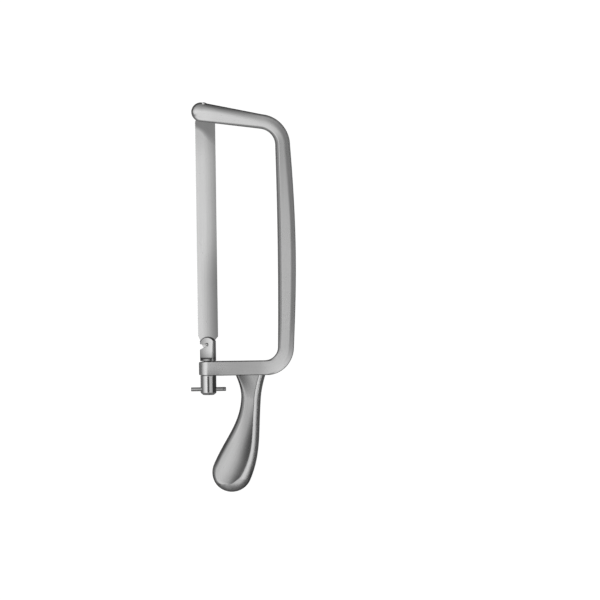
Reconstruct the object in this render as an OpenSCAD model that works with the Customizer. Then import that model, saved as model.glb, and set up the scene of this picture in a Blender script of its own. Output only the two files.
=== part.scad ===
// Bow amputation saw: a forged bow with a pear handle, an exchangeable blade hung on
// two cross pins, and a hooked carrier that a T-bar nut draws down to tension the blade.
// The saw lies on its side: X runs from the blade to the spine, Y from the handle to
// the tip, and Z is up. Sizes are in millimetres.

/* [Blade] */
// Distance between the two blade pins
pin_span = 216.4; // [180:0.2:250]
// Width of the blade over its teeth
blade_w = 18.4; // [15:0.2:22]
// Thickness of the blade
blade_t = 0.8; // [0.6:0.1:1.2]
// Distance from one tooth to the next
tooth_pitch = 1.5; // [1.2:0.1:3]
// Depth of the teeth
tooth_depth = 0.8; // [0.5:0.1:1.2]
// Diameter of the blade pins
pin_d = 2.6; // [2:0.1:3]
// Length of the upper blade pin
pin_len = 10; // [8:0.5:12]
// Length of the lower blade pin, which ends below the carrier's flats
lower_pin_len = 6.6; // [5:0.2:7]
// Offset of the pins from the middle of the blade, towards the teeth
pin_offset = 0.9; // [0:0.1:2]
// Width of the blade's round tips
tip_w = 9; // [5.5:0.5:10]
// Lower tip beyond its pin
lower_tip = 4; // [3:0.2:5]
// Upper tip beyond its pin
upper_tip = 1.5; // [1.4:0.1:3]
// Lower pin to where the blade reaches its full width
lower_shoulder = 7; // [6:0.5:12]
// Upper pin to where the blade reaches its full width
upper_shoulder = 15; // [10:0.5:17]

/* [Bow] */
// Depth of the bow from the blade's middle to the spine
throat = 63; // [50:0.2:90]
// Height of the lower arm
arm_h = 13; // [11:0.2:17]
// Diameter of the barrel at the end of the lower arm
barrel_d = 16.8; // [15:0.2:20]
// Thickness of the lower arm where it meets the spine
foot_t = 12.5; // [10:0.5:15]
// Diameter of the upper arm's round end
end_d = 17; // [15:0.2:20]
// Thickness of the upper arm at its round end
end_t = 12; // [9:0.5:15]
// How far the round end reaches past the teeth
end_over = 2.8; // [2:0.1:5]
// Slope of the upper arm's underside, in degrees
arm_slope = 7.5; // [0:0.1:12]
// Width of the upper arm where it meets the spine
arm_w = 12.7; // [11:0.1:16]
// Width of the spine at its top
spine_top_w = 13.4; // [11:0.2:16]
// Width of the spine at its bottom
spine_low_w = 14.4; // [11:0.2:17]
// How far the spine bows out between its two ends
spine_bow = 1; // [0:0.1:3]
// Extra width of the spine at the middle of its bow
spine_bulge = 2.3; // [0:0.1:4]
// Thickness of the spine
spine_t = 11; // [8:0.5:14]
// Inner radius of the upper corner
top_corner_r = 15; // [8:0.5:18]
// Inner radius of the lower corner
low_corner_r = 12.2; // [8:0.2:18]

/* [Tensioner] */
// Diameter of the carrier's head
head_d = 14.4; // [12.4:0.2:15]
// Height of the lower pin above the head's underside
pin_up = 14.8; // [12:0.2:17]
// Height of the head above the lower pin
head_top = 7.3; // [6:0.1:9]
// Gap between the head and the barrel, left for tightening
head_gap = 0.3; // [0.3:0.1:3]
// Side of the carrier's square shank, and diameter of its thread
shank_w = 8; // [6.6:0.2:8.4]
// Diameter of the nut
nut_d = 14.2; // [12.4:0.2:15]
// Length of the nut
nut_len = 17.6; // [16:0.2:22]
// Diameter of the T-bar
bar_d = 3.6; // [3:0.1:4.4]
// Length of the T-bar
bar_len = 31.5; // [24:0.5:40]
// Height of the T-bar above the nut's free end
bar_up = 5.2; // [4.6:0.2:6.6]

/* [Handle] */
// Length of the handle below the lower arm
handle_len = 104.8; // [90:0.2:120]
// Middle of the handle's root, from the blade's middle
handle_x = 38; // [32:0.5:44]
// How far the bulb leans towards the blade
lean = 17.8; // [8:0.2:22]
// Width of the handle's root
root_w = 26.6; // [20:0.2:28]
// Thickness of the handle's root
root_t = 12.4; // [11:0.2:13.6]
// Width of the neck
neck_w = 17.6; // [14:0.2:20]
// Thickness of the neck
neck_t = 13; // [12:0.2:16]
// Width of the bulb
bulb_w = 35.6; // [28:0.2:40]
// Thickness of the bulb
bulb_t = 25; // [22:0.5:30]
// Diameter of the stud that joins the handle to the arm
stud_d = 8; // [6:0.5:9]
// Length of the stud inside the handle
stud_down = 24; // [16:1:30]
// Length of the stud inside the arm
stud_up = 9; // [6:0.5:10]

/* [Hidden] */
$fn = 64;

// Clearances, in millimetres
slot_clear = 0.15;    // each side of the blade in its two slots
seat_clear = 0.1;     // round a pin in its seat
shank_clear = 0.05;   // each side of the square shank
thread_clear = 0.05;  // round the thread in the nut
bearing_clear = 0.05; // between the nut and the barrel
over = 1;             // how far a cutter runs past what it cuts
seat_depth = 0.25;    // flat seat of the nut below the barrel's face
seat_rim = 0.3;       // seat wider than the nut, all round

// Heights along the blade, measured from the middle of the barrel
arm_top = arm_h / 2;
head_base = arm_top + head_gap;
nut_seat = -arm_top + seat_depth;
lower_pin_y = head_base + pin_up;
upper_pin_y = lower_pin_y + pin_span;
pin_x = -pin_offset;
pin_r = pin_d / 2;
blade_edge = blade_w / 2;

// Upper arm: its round end, its underside and the direction that it runs in
end_r = end_d / 2;
pin_sink = 1.3; // axis of the upper pin below the top of the round end
end_c = [-blade_edge - end_over + end_r, upper_pin_y + pin_sink - end_r];
along = [cos(arm_slope), -sin(arm_slope)];
across = [sin(arm_slope), cos(arm_slope)];
arm_start = end_c - end_r * across;
arm_run = (throat - top_corner_r * (1 - across.x) - arm_start.x) / along.x;
top_c = arm_start + arm_run * along - top_corner_r * across;
low_c = [throat - low_corner_r, arm_top + low_corner_r];

// Handle: its root, bulb and the curve between them
root = [handle_x, -arm_top];
bulb_r = bulb_w / 2;
bulb_c = [handle_x - lean, -arm_top - handle_len + bulb_r];
drop = root.y - bulb_c.y;
bulb_tilt = 24; // lean of the handle's axis where it enters the bulb, in degrees
root_pull = [0.1 * lean, -0.3 * drop];
bulb_pull = 0.44 * drop * [sin(bulb_tilt), cos(bulb_tilt)];
neck_at = 0.26; // share of the axis from the root to the neck
swell_power = 1.18; // how late the bulb swells
flare_power = 1.7; // how sharply the root flares

// Nut
nut_top = nut_seat - bearing_clear;
nut_end = nut_top - nut_len;
bar_y = nut_end + bar_up;
nut_floor = 1.2; // metal between the thread and the T-bar
bore_end = bar_y + bar_d / 2 + nut_floor;
thread_end = bore_end + 0.8;

// Shares and counts of the lofted forms
quarter_n = 6;   // points in a quarter of a section
dome_n = 7;      // rings in the upper arm's round end
corner_n = 9;    // rings in a corner of the bow
spine_n = 12;    // rings along the spine
barrel_n = 7;    // rings round the barrel's end
handle_n = 26;   // rings from the handle's root to its bulb
cap_n = 10;      // rings over the end of the bulb

function lerp(a, b, t) = a + (b - a) * t;
function ease(t) = t * t * (3 - 2 * t);
function turned(v, angle) = [v.x * cos(angle) - v.y * sin(angle), v.x * sin(angle) + v.y * cos(angle)];

// One quarter of a superellipse, from [1, 0] to [0, 1]
function quarter(power, i) =
    let (a = 90 * i / quarter_n) [pow(cos(a), 2 / power), pow(sin(a), 2 / power)];

// Closed section: across from 0 to width, and as thick as twice half. Each edge is rounded over
// its own depth with its own power
function section(width, half, inner, outer, inner_power, outer_power) = concat(
    [for (i = [0:quarter_n]) let (q = quarter(outer_power, i)) [width - outer * (1 - q[0]), half * q[1]]],
    [for (i = [quarter_n:-1:0]) let (q = quarter(inner_power, i)) [inner * (1 - q[0]), half * q[1]]],
    [for (i = [1:quarter_n]) let (q = quarter(inner_power, i)) [inner * (1 - q[0]), -half * q[1]]],
    [for (i = [quarter_n:-1:1]) let (q = quarter(outer_power, i)) [width - outer * (1 - q[0]), -half * q[1]]]);

// A section stood up at a point of the plan, across the direction given
function ring(point, direction, outline) =
    [for (q = outline) [point.x + direction.x * q[0], point.y + direction.y * q[0], q[1]]];

// Skin over rings that have as many points each
module loft(rings) {
    n = len(rings[0]);
    last = (len(rings) - 1) * n;
    sides = [for (j = [0:len(rings) - 2], i = [0:n - 1], half = [0, 1])
        let (a = j * n + i, b = j * n + (i + 1) % n)
        half == 0 ? [a, b, a + n] : [b, b + n, a + n]];
    caps = [for (i = [1:n - 2], end = [0, 1]) end == 0 ? [0, i + 1, i] : [last, last + i, last + i + 1]];
    polyhedron([for (r = rings) each r], concat(sides, caps), convexity = 6);
}

// Bow: edge roundings of each stretch
end_inner = 4;
end_outer = 4.4;
spine_inner = 4;
spine_outer = 5;
foot_edge = 2.5;
round_power = 2.3;
spine_power = 3.4;
square_power = 5;

// Round end: the section shrinks to a blunt tip
end_rings = [for (i = [0:dome_n - 1])
    let (a = lerp(86, 0, i / dome_n), half_w = end_r * cos(a))
    ring(arm_start - end_r * sin(a) * along + (end_r - half_w) * across, across,
         section(2 * half_w, end_t / 2 * sqrt(cos(a)), half_w * 2 * end_inner / end_d,
                 half_w * 2 * end_outer / end_d, round_power, round_power))];

// Upper arm: tapers from the round end to the corner
arm_rings = [for (t = [0, 0.5, 1])
    ring(arm_start + t * arm_run * along, across,
         section(lerp(end_d, arm_w, t), lerp(end_t, spine_t, t) / 2, lerp(end_inner, spine_inner, t),
                 lerp(end_outer, spine_outer, t), round_power, lerp(round_power, spine_power, t)))];

// Upper corner
top_rings = [for (i = [1:corner_n])
    let (t = i / corner_n, out = turned(across, -t * (90 - arm_slope)))
    ring(top_c + top_corner_r * out, out,
         section(lerp(arm_w, spine_top_w, t), spine_t / 2, spine_inner, spine_outer,
                 round_power, spine_power))];

// Spine: bowed out between its ends, and widest at the middle
function spine_x(t) = throat + 4 * spine_bow * t * (1 - t);
function spine_w(t) = lerp(spine_top_w, spine_low_w, t) + spine_bulge * sin(180 * t);
spine_rings = [for (i = [1:spine_n])
    let (t = i / spine_n)
    ring([spine_x(t), lerp(top_c.y, low_c.y, t)], [1, 0],
         section(spine_w(t), spine_t / 2, spine_inner, spine_outer, round_power, spine_power))];

// Lower corner: squares up towards the lower arm, and keeps the spine's width for most of its turn
low_rings = [for (i = [1:corner_n])
    let (t = i / corner_n, e = ease(t), out = turned([1, 0], -90 * t))
    ring(low_c + low_corner_r * out, out,
         section(lerp(spine_low_w, arm_h, t * t * t), lerp(spine_t, foot_t, e) / 2,
                 lerp(spine_inner, foot_edge, e), lerp(spine_outer, foot_edge, e),
                 lerp(round_power, square_power, e), lerp(spine_power, square_power, e)))];

// Lower arm: thickens to the barrel, whose end is half round and drawn in at its edges
barrel_r = barrel_d / 2;
barrel_edge = 1.2;
foot_rings = [for (i = [0:barrel_n])
    let (a = 86 * i / barrel_n, in = barrel_edge * (1 - cos(a)))
    ring([-barrel_r * sin(a), arm_top - in], [0, -1],
         section(arm_h - 2 * in, barrel_r * cos(a), foot_edge, foot_edge, square_power, square_power))];

bow_rings = concat(end_rings, arm_rings, top_rings, spine_rings, low_rings, foot_rings);

// Box of the whole saw, which its origin is taken from
lowest = -max(bulb_t, barrel_d, nut_d) / 2;
left = -max(bar_len / 2, blade_edge + end_over, barrel_d / 2);
right = max([for (i = [0:spine_n]) spine_x(i / spine_n) + spine_w(i / spine_n)]);
bottom = -arm_top - handle_len;
top = upper_pin_y + max(upper_tip, pin_r, pin_sink);

// Moves a piece so that the origin is under the middle of the saw, on the surface it lies on
module laid() {
    translate([-(left + right) / 2, -(bottom + top) / 2, -lowest]) children();
}

// Stands children's Z axis along Y
module along_y() {
    rotate([-90, 0, 0]) children();
}

// Closed round bar along Y, from one height to another
module round_y(d, from, to) {
    translate([0, from, 0]) along_y() cylinder(d = d, h = to - from);
}

// Turned solid along Y: points are [radius, height]
module turned_y(points) {
    rotate([-90, 0, 0]) rotate_extrude() polygon(points);
}

module bow_frame() {
    slot_w = blade_t + 2 * slot_clear;
    slot_end = blade_edge + 0.8;
    slot_h = 2 * end_d;
    bore_w = shank_w + 2 * shank_clear;
    seat_r = pin_r + seat_clear;
    color([0.66, 0.67, 0.68]) laid() difference() {
        loft(bow_rings);
        // Slot that the blade slides into from the left
        translate([end_c.x - end_r - over, end_c.y - slot_h / 2, -slot_w / 2])
            cube([slot_end - end_c.x + end_r + over, slot_h, slot_w]);
        // Groove across the top, for the upper blade pin
        translate([pin_x, upper_pin_y, -end_t]) linear_extrude(2 * end_t) {
            circle(seat_r);
            translate([-seat_r, 0]) square([2 * seat_r, end_r]);
        }
        // Square hole for the carrier's shank
        translate([-bore_w / 2, -arm_top - over, -bore_w / 2]) cube([bore_w, arm_h + 2 * over, bore_w]);
        // Flat seat for the nut
        round_y(nut_d + 2 * seat_rim, -arm_top - over, nut_seat);
        // Blind hole for the handle's stud
        translate([handle_x, 0, 0]) round_y(stud_d, -arm_top - over, -arm_top + stud_up);
    }
}

// Axis of the handle, and its heading
function axis_at(t) =
    let (a = root + root_pull, b = bulb_c + bulb_pull, s = 1 - t)
    s * s * s * root + 3 * s * s * t * a + 3 * s * t * t * b + t * t * t * bulb_c;
function heading_at(t) = let (d = axis_at(t + 0.001) - axis_at(t - 0.001)) atan2(d.x, -d.y);

// Half width and half thickness: a flared root, a neck, then the swell of the bulb
function swell(t) =
    t < neck_at ? 0 : (1 - cos(180 * pow((t - neck_at) / (1 - neck_at), swell_power))) / 2;
function flare(t) = t > neck_at ? 0 : pow(1 - t / neck_at, flare_power);
function grip_w(t) = lerp(neck_w, bulb_w, swell(t)) / 2 + (root_w - neck_w) / 2 * flare(t);
function grip_t(t) = lerp(neck_t, bulb_t, swell(t)) / 2 + (root_t - neck_t) / 2 * flare(t);

module handle() {
    power = 2.2;
    flat = 0.02; // short flat between the two edges of a section
    function oval(half_w, half_t) =
        let (edge = half_w * (1 - flat)) section(2 * half_w, half_t, edge, edge, power, power);
    function grip_ring(centre, angle, half_w, half_t) =
        let (right = turned([1, 0], angle)) ring(centre - half_w * right, right, oval(half_w, half_t));
    body = [for (i = [0:handle_n])
        let (t = i / handle_n, square_on = ease(min(1, t / neck_at)))
        grip_ring(axis_at(t), square_on * heading_at(t), grip_w(t), grip_t(t))];
    last = heading_at(1);
    cap = [for (i = [1:cap_n])
        let (a = 87 * i / cap_n)
        grip_ring(bulb_c + bulb_r * sin(a) * turned([0, -1], last), last,
                  bulb_r * cos(a), bulb_t / 2 * cos(a))];
    color([0.62, 0.63, 0.64]) laid() difference() {
        loft(concat(body, cap));
        translate([handle_x, 0, 0]) round_y(stud_d, -arm_top - stud_down, -arm_top + over);
    }
}

// Joins the handle to the lower arm
module handle_stud() {
    color([0.5, 0.51, 0.52]) laid()
        translate([handle_x, 0, 0]) round_y(stud_d, -arm_top - stud_down, -arm_top + stud_up);
}

// Slotted head with a beaked notch, a square shank and a thread
module blade_carrier() {
    head_r = head_d / 2;
    head_end = lower_pin_y + head_top;
    collar_top = head_base + 1.6;
    flat_start = collar_top + 1;
    flat_low = 0.67 * head_r;
    flat_top = 0.47 * head_r;
    flat_turn = 19; // how far each flat turns from the blade's faces towards the teeth, in degrees
    arch_r = 1.2 * head_r;
    arch_slope = 0.36; // how much the arch draws in for each millimetre away from the blade
    arch_h = head_r + over;
    slot_floor = lower_pin_y - lower_tip - 1;
    slot_w = blade_t + 2 * slot_clear;
    shank_end = nut_seat + 1;
    color([0.7, 0.71, 0.72]) laid() {
        difference() {
            intersection() {
                round_y(head_d, head_base, head_end);
                // Arched top with sloping edges
                translate([0, head_end - arch_r, 0]) union() {
                    for (side = [0, 1]) mirror([0, 0, side])
                        cylinder(r1 = arch_r, r2 = arch_r - arch_slope * arch_h, h = arch_h);
                    translate([-head_d, -4 * head_d, -head_d]) cube([2 * head_d, 4 * head_d, 2 * head_d]);
                }
            }
            // Tapered flats on both faces, down to a sloping step above the round collar
            for (side = [0, 1]) mirror([0, 0, side]) rotate([0, -flat_turn, 0]) translate([-head_d, 0, 0])
                rotate([90, 0, 90]) linear_extrude(2 * head_d) polygon([
                    [collar_top, head_r + over], [flat_start, flat_low], [head_end + over, flat_top],
                    [head_end + over, head_r + over]]);
            // Slot for the blade's lower tip
            translate([-head_r - over, slot_floor, -slot_w / 2])
                cube([head_d + 2 * over, head_end - slot_floor + over, slot_w]);
            translate([0, 0, -head_r - over]) linear_extrude(head_d + 2 * over) beak();
        }
        translate([-shank_w / 2, shank_end, -shank_w / 2]) cube([shank_w, head_base - shank_end, shank_w]);
        round_y(shank_w, thread_end, shank_end);
    }
}

// Beaked notch: a round seat for the pin, and a throat that drops before it opens to the left
module beak() {
    seat_r = pin_r + seat_clear;
    throat_drop = 1.1 * seat_r;
    throat_x = pin_x - 2.1 * seat_r;
    mouth_x = -head_d / 2 - over;
    translate([pin_x, lower_pin_y]) circle(seat_r);
    polygon([
        [pin_x + seat_r, lower_pin_y],
        [pin_x + 0.75 * seat_r, lower_pin_y - throat_drop],
        [throat_x, lower_pin_y - throat_drop - seat_r],
        [mouth_x, lower_pin_y - throat_drop - 2.6 * seat_r],
        [mouth_x, lower_pin_y + 0.3 * seat_r],
        [throat_x, lower_pin_y - throat_drop + seat_r],
        [pin_x - 0.6 * seat_r, lower_pin_y + 0.8 * seat_r]]);
}

// Flat blade with tapered, round tips and one toothed edge
module saw_blade() {
    low_tip = lower_pin_y - lower_tip;
    low_full = lower_pin_y + lower_shoulder;
    high_full = upper_pin_y - upper_shoulder;
    high_tip = upper_pin_y + upper_tip;
    tip_r = tip_w / 2;
    function round_tip(y, from) =
        [for (a = [0:15:180]) [pin_x + tip_r * cos(from + a), y + tip_r * sin(from + a)]];
    gullet_x = -blade_edge + tooth_depth;
    tooth_n = floor((high_full - low_full) / tooth_pitch);
    first = (low_full + high_full - tooth_n * tooth_pitch) / 2;
    teeth = [for (i = [tooth_n - 1:-1:0], tooth = [[0.5, 1], [0, 0]])
        [gullet_x - tooth_depth * tooth[1], first + (i + tooth[0]) * tooth_pitch]];
    outline = concat(
        round_tip(low_tip + tip_r, 180), [[blade_edge, low_full], [blade_edge, high_full]],
        round_tip(high_tip - tip_r, 0), [[gullet_x, high_full], [gullet_x, first + tooth_n * tooth_pitch]],
        teeth, [[gullet_x, low_full]]);
    color([0.74, 0.75, 0.76]) laid() translate([0, 0, -blade_t / 2]) linear_extrude(blade_t) difference() {
        polygon(outline);
        for (y = [lower_pin_y, upper_pin_y]) translate([pin_x, y]) circle(pin_r);
    }
}

// Cross pin riveted in the blade
module blade_pin(y, length) {
    color([0.6, 0.61, 0.62]) laid()
        translate([pin_x, y, -length / 2]) cylinder(r = pin_r, h = length);
}

// Cylinder with a blind threaded hole, a tapered end and a cross hole
module tension_nut() {
    nut_r = nut_d / 2;
    rim = 0.4;
    shoulder = [2.4, 3.2]; // depth and height of the rounded end
    rounding = [for (a = [0:18:90])
        [nut_r - shoulder.x * (1 - sin(a)), nut_end + shoulder.y * (1 - cos(a))]];
    color([0.72, 0.73, 0.74]) laid() difference() {
        turned_y(concat([[0, nut_end]], rounding,
                        [[nut_r, nut_top - rim], [nut_r - rim, nut_top], [0, nut_top]]));
        round_y(shank_w + 2 * thread_clear, bore_end, nut_top + over);
        translate([-nut_r - over, bar_y, 0]) rotate([0, 90, 0]) cylinder(d = bar_d, h = nut_d + 2 * over);
    }
}

// Plain bar pressed through the nut
module t_bar() {
    chamfer = 0.4;
    bar_r = bar_d / 2;
    color([0.6, 0.61, 0.62]) laid() translate([0, bar_y, 0]) rotate([0, 90, 0]) rotate_extrude() polygon([
        [0, -bar_len / 2], [bar_r - chamfer, -bar_len / 2], [bar_r, -bar_len / 2 + chamfer],
        [bar_r, bar_len / 2 - chamfer], [bar_r - chamfer, bar_len / 2], [0, bar_len / 2]]);
}

bow_frame();
handle();
handle_stud();
blade_carrier();
saw_blade();
blade_pin(upper_pin_y, pin_len);  // upper_blade_pin
blade_pin(lower_pin_y, lower_pin_len);  // lower_blade_pin
tension_nut();
t_bar();
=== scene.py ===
import math
import bmesh
import bpy
import numpy as np
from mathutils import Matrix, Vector


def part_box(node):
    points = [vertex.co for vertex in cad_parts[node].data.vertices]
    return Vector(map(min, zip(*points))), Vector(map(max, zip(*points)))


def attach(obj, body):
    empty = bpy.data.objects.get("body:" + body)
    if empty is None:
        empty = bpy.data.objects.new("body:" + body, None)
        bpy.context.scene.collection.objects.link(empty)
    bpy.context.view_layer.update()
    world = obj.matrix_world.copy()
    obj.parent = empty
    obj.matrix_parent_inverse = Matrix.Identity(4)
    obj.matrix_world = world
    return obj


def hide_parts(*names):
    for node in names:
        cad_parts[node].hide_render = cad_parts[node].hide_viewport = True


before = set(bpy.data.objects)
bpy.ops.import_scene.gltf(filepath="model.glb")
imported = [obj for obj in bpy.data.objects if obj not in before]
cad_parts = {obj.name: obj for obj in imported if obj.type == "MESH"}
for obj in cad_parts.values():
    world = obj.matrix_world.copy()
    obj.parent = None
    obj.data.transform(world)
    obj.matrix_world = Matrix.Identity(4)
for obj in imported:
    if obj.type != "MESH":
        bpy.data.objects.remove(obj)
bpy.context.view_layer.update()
mm = 0.001

# The saw's own axes, in millimetres: the origin is the middle of the barrel, X runs to the spine,
# Y to the tip and Z up
barrelToNut = 6.3  # from the middle of the barrel down to the top of the nut
nutLow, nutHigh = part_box("tension_nut")
origin = Vector(((nutLow.x + nutHigh.x) / 2, nutHigh.y + barrelToNut * mm, (nutLow.z + nutHigh.z) / 2))


def middle(node):
    low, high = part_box(node)
    return ((low + high) / 2 - origin) / mm


def extent(node):
    low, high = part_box(node)
    return (high - low) / mm


def lerp(a, b, t):
    return a + (b - a) * t


def ease(t):
    return t * t * (3 - 2 * t)


def clamp(t):
    return min(1, max(0, t))


# How far t has come from a start on its way to 1
def beyond(t, start):
    return max(0, (t - start) / (1 - start))


def turned(v, degrees):
    c, s = math.cos(math.radians(degrees)), math.sin(math.radians(degrees))
    return np.array([v[0] * c - v[1] * s, v[0] * s + v[1] * c])


# Open line of points whose inner corners are rounded. Every call with as many corners gives as many
# points, two of them close to the ends of each straight stretch so that flats stay flat when shaded
rounding = {"steps": 5, "mostOfStretch": 0.95, "extraPoints": (0.12, 0.88)}


def roundPath(corners, radii):
    corners = [np.array(c, float) for c in corners]
    last = len(corners) - 1
    steps = rounding["steps"]
    lengths = [np.linalg.norm(b - a) for a, b in zip(corners, corners[1:])]
    ways = [(b - a) / length for a, b, length in zip(corners, corners[1:], lengths)]
    halves = [math.acos(np.clip(-before @ after, -1, 1)) / 2 for before, after in zip(ways, ways[1:])]
    reaches = [0] + [radius / math.tan(half) for radius, half in zip(radii, halves)] + [0]
    shares = [min(1, rounding["mostOfStretch"] * lengths[i] / max(1e-9, reaches[i] + reaches[i + 1]))
              for i in range(last)]
    groups = [[corners[0]]]
    for i in range(1, last):
        here, half = corners[i], halves[i - 1]
        back, ahead = -ways[i - 1], ways[i]
        reach = reaches[i] * min(shares[i - 1], shares[i])
        middleWay = (back + ahead) / np.linalg.norm(back + ahead)
        centre = here + middleWay * reach / math.cos(half)
        start, end = here + back * reach - centre, here + ahead * reach - centre
        sweep = math.pi - 2 * half
        groups.append([centre + (start * math.sin((1 - k / steps) * sweep)
                                 + end * math.sin(k / steps * sweep)) / math.sin(sweep)
                       for k in range(steps + 1)])
    groups.append([corners[-1]])
    path = []
    for before, after in zip(groups, groups[1:]):
        path += before + [lerp(before[-1], after[0], share) for share in rounding["extraPoints"]]
    return path + groups[-1]


def newObject(name, points, faces):
    mesh = bpy.data.meshes.new(name)
    mesh.from_pydata([origin + Vector(p) * mm for p in points], [], faces)
    mesh.update()
    obj = bpy.data.objects.new(name, mesh)
    bpy.context.scene.collection.objects.link(obj)
    return obj


# Skin over rings that have as many points each. The UV map is in millimetres, along and around from the
# first point to the one opposite, the same on both sides
def loft(name, rings):
    count = len(rings[0])
    points = [p for ring in rings for p in ring]
    faces, uvs = [], []
    centres = [np.mean(ring, axis=0) for ring in rings]
    along = np.concatenate([[0], np.cumsum([np.linalg.norm(b - a) for a, b in zip(centres, centres[1:])])])
    around = [np.concatenate([[0], np.cumsum(np.linalg.norm(np.roll(r, -1, axis=0) - r, axis=1))])
              for r in map(np.array, rings)]
    around = [np.minimum(a, a[-1] - a) for a in around]
    for j in range(len(rings) - 1):
        for i in range(count):
            a, b = j * count + i, j * count + (i + 1) % count
            faces.append((a, a + count, b + count, b))
            uvs += [(along[j], around[j][i]), (along[j + 1], around[j + 1][i]),
                    (along[j + 1], around[j + 1][i + 1]), (along[j], around[j][i + 1])]
    faces.append(tuple(range(count)))
    faces.append(tuple(reversed(range(len(points) - count, len(points)))))
    uvs += [(along[0], v) for v in around[0][:-1]] + [(along[-1], v) for v in around[-1][-2::-1]]
    obj = newObject(name, points, faces)
    obj.data.uv_layers.new(name="grain").data.foreach_set("uv", np.array(uvs, np.float32).ravel())
    return obj


# Solid turned about an axis through a point. The outline is (radius, height), up the outside
def turnedSolid(name, outline, axis, centre, segments=72):
    points, faces, rows = [], [], []
    for radius, height in outline:
        if radius < 1e-6:
            rows.append([len(points)] * segments)
            points.append((0, 0, height))
            continue
        rows.append([len(points) + k for k in range(segments)])
        for k in range(segments):
            a = 2 * math.pi * k / segments
            points.append((radius * math.cos(a), radius * math.sin(a), height))
    for low, high in zip(rows, rows[1:]):
        for k in range(segments):
            corners = [low[k], low[(k + 1) % segments], high[(k + 1) % segments], high[k]]
            faces.append(tuple(dict.fromkeys(corners)))
    faces = [f for f in faces if len(f) > 2]
    order = {"x": (2, 0, 1), "y": (1, 2, 0), "z": (0, 1, 2)}[axis]
    return newObject(name, [[p[order[i]] + centre[i] for i in range(3)] for p in points], faces)


def boxSolid(name, low, high):
    points = [(x, y, z) for x in (low[0], high[0]) for y in (low[1], high[1]) for z in (low[2], high[2])]
    faces = [(0, 1, 3, 2), (4, 6, 7, 5), (0, 4, 5, 1), (2, 3, 7, 6), (0, 2, 6, 4), (1, 5, 7, 3)]
    return newObject(name, points, faces)


far = 40.0  # how far a cutter reaches, in millimetres


# Cutter from far below up to a height
def drill(name, radius, top, axis, centre, segments=72):
    return turnedSolid(name, [(0, -far), (radius, -far), (radius, top), (0, top)], axis, centre, segments)


# Puts the result of a piece's modifiers into its mesh
def settle(obj):
    graph = bpy.context.evaluated_depsgraph_get()
    mesh = bpy.data.meshes.new_from_object(obj.evaluated_get(graph))
    obj.modifiers.clear()
    obj.data = mesh


def cut(obj, cutters):
    for cutter in cutters:
        modifier = obj.modifiers.new("cut", "BOOLEAN")
        modifier.operation = "DIFFERENCE"
        modifier.solver = "EXACT"
        modifier.object = cutter
    settle(obj)
    for cutter in cutters:
        bpy.data.objects.remove(cutter)


def shadeSmooth(obj, degrees):
    obj.data.polygons.foreach_set("use_smooth", [True] * len(obj.data.polygons))
    obj.data.set_sharp_from_angle(angle=math.radians(degrees))
    obj.modifiers.new("weightedNormals", "WEIGHTED_NORMAL").keep_sharp = True


def finishPiece(obj, body, slot, material, *nodes):
    obj.data.materials.clear()
    obj.data.materials.append(material)
    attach(obj, body)
    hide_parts(*nodes)


# Materials

# Links a socket to a node's input, or sets a plain value there
def feed(tree, entry, value):
    if isinstance(value, bpy.types.NodeSocket):
        tree.links.new(value, entry)
    else:
        entry.default_value = value


def addNode(tree, kind, **sockets):
    node = tree.nodes.new(kind)
    for key, value in sockets.items():
        feed(tree, node.inputs[key], value)
    return node


def addMath(tree, operation, *values):
    node = tree.nodes.new("ShaderNodeMath")
    node.operation = operation
    for i, value in enumerate(values):
        feed(tree, node.inputs[i], value)
    return node.outputs[0]


def addVector(tree, operation, a, b):
    node = tree.nodes.new("ShaderNodeVectorMath")
    node.operation = operation
    feed(tree, node.inputs[0], a)
    feed(tree, node.inputs["Scale" if operation == "SCALE" else 1], b)
    return node.outputs["Value" if operation in ("DOT_PRODUCT", "DISTANCE") else "Vector"]


def addStep(tree, value, low, high):
    node = tree.nodes.new("ShaderNodeMapRange")
    node.interpolation_type = "SMOOTHSTEP"
    for key, given in (("Value", value), ("From Min", low), ("From Max", high)):
        feed(tree, node.inputs[key], given)
    return node.outputs["Result"]


def splitAxes(tree, vector):
    return addNode(tree, "ShaderNodeSeparateXYZ", Vector=vector).outputs


def both(tree, first, second):
    return addMath(tree, "MULTIPLY", first, second)


# A value and a share of a mask on top of it
def gained(tree, value, mask, share):
    return addMath(tree, "MULTIPLY_ADD", mask, share, value)


def planDistance(tree, axes, centre):
    flat = addNode(tree, "ShaderNodeCombineXYZ", X=axes[0], Y=axes[1], Z=0.0).outputs[0]
    return addVector(tree, "DISTANCE", flat, centre)


def newGroup(name, inputs, outputs):
    tree = bpy.data.node_groups.new(name, "ShaderNodeTree")
    for socket, kind in inputs:
        tree.interface.new_socket(socket, in_out="INPUT", socket_type=kind)
    for socket, kind in outputs:
        tree.interface.new_socket(socket, in_out="OUTPUT", socket_type=kind)
    return tree, tree.nodes.new("NodeGroupInput").outputs, tree.nodes.new("NodeGroupOutput").inputs


# Ground and polished steel. Grain is (along, across, across) and Place is a point, in millimetres. The depth
# of the relief is in metres
finish = {
    "streak": (0.012, 0.8, 0.8), "streakDetail": 4.0, "streakTone": 0.16, "streakHeight": 0.6,
    "scratch": (0.1, 6.0, 6.0), "scratchDetail": 3.0, "scratchTone": 0.05, "scratchHeight": 0.4,
    "cloud": 0.045, "cloudDetail": 3.0, "cloudTone": 0.10, "cloudRough": 0.10,
    "pit": 0.75, "pitDetail": 2.0, "pitFrom": 0.66, "pitTo": 0.74, "pitTone": 0.14, "pitRough": 0.08,
    "pitHeight": 0.5, "fineShare": 0.55, "relief": 0.00004,
}


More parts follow.
